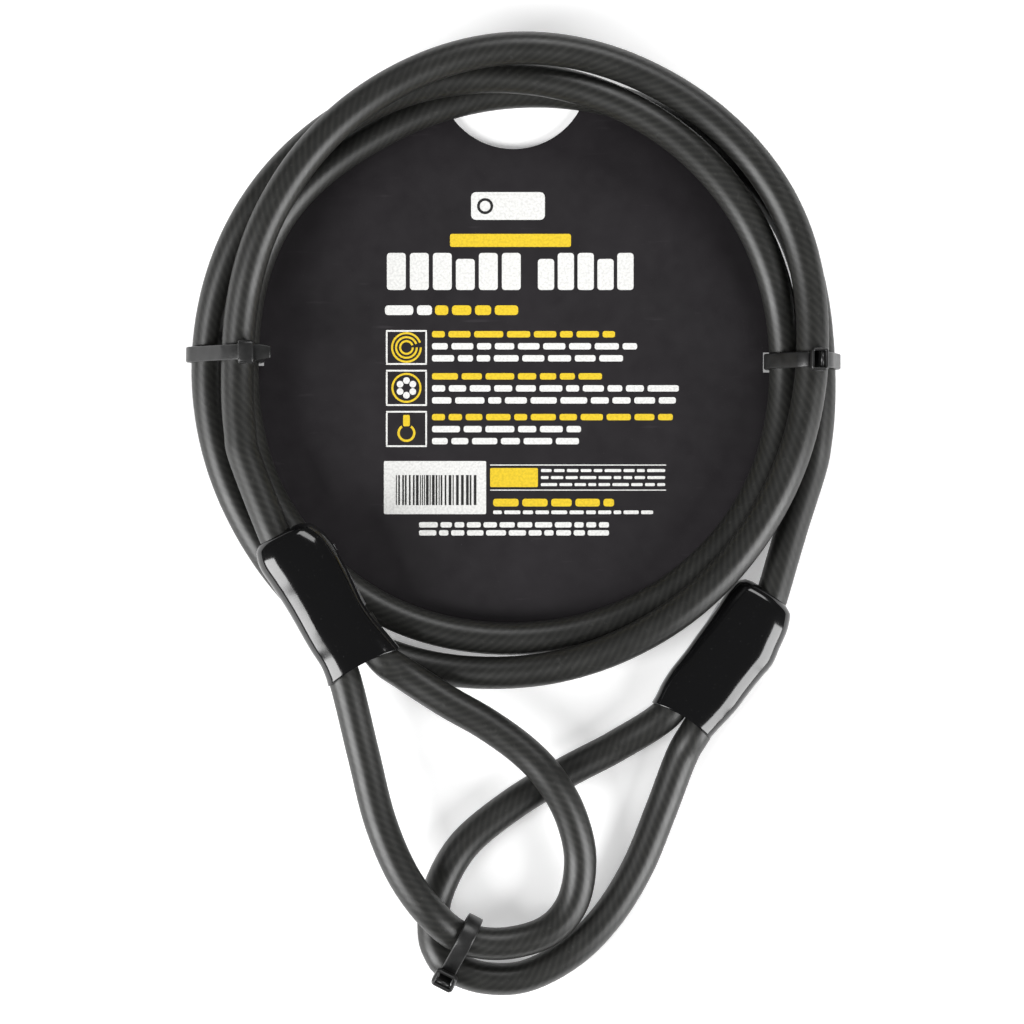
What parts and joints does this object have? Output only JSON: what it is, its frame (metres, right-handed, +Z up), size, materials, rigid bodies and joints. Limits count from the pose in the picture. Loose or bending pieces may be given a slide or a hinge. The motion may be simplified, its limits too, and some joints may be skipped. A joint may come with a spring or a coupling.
{
  "type": "cable lock",
  "caption": "Double-loop security cable: vinyl-covered steel rope with crimped eyes and black boots, coiled on a round card by cable ties.",
  "frame": {"origin": "bottom centre of the object's box, lying flat on a table", "axes": "+X to the right of the card, +Y to the top of the card, +Z up from the table"},
  "size_m": [0.195, 0.2829, 0.0301],
  "materials": {
    "jacket": "satin",
    "rope": "satin",
    "ferrule": "satin",
    "boot": "gloss",
    "tie": "satin",
    "card": "satin"
  },
  "bodies": {
    "lock": {"jacket_coil": "jacket", "jacket_loop_a": "jacket", "jacket_loop_b": "jacket", "wire_rope": "rope", "ferrule_a": "ferrule", "ferrule_b": "ferrule", "boot_a": "boot", "boot_b": "boot", "tie_left": "tie", "tie_right": "tie", "tie_lower": "tie", "backing_card": "card"},
    "pawl_left": {"pawl_left": "tie"},
    "pawl_right": {"pawl_right": "tie"},
    "pawl_lower": {"pawl_lower": "tie"}
  },
  "joints": [
    {"name": "pawl_left_flex", "type": "hinge", "parent": "lock", "child": "pawl_left", "pos_m": [-0.0793, 0.0478, 0.02485], "axis": [0, 1, 0], "range_deg": [0, 12], "stiffness_Nm_per_rad": 0.01},
    {"name": "pawl_right_flex", "type": "hinge", "parent": "lock", "child": "pawl_right", "pos_m": [0.08845, 0.0458, 0.0231], "axis": [0, -1, 0], "range_deg": [0, 12], "stiffness_Nm_per_rad": 0.01},
    {"name": "pawl_lower_flex", "type": "hinge", "parent": "lock", "child": "pawl_lower", "pos_m": [-0.01991, -0.13618, 0.0146], "axis": [-0.891, 0.454, 0], "range_deg": [0, 12], "stiffness_Nm_per_rad": 0.01}
  ]
}
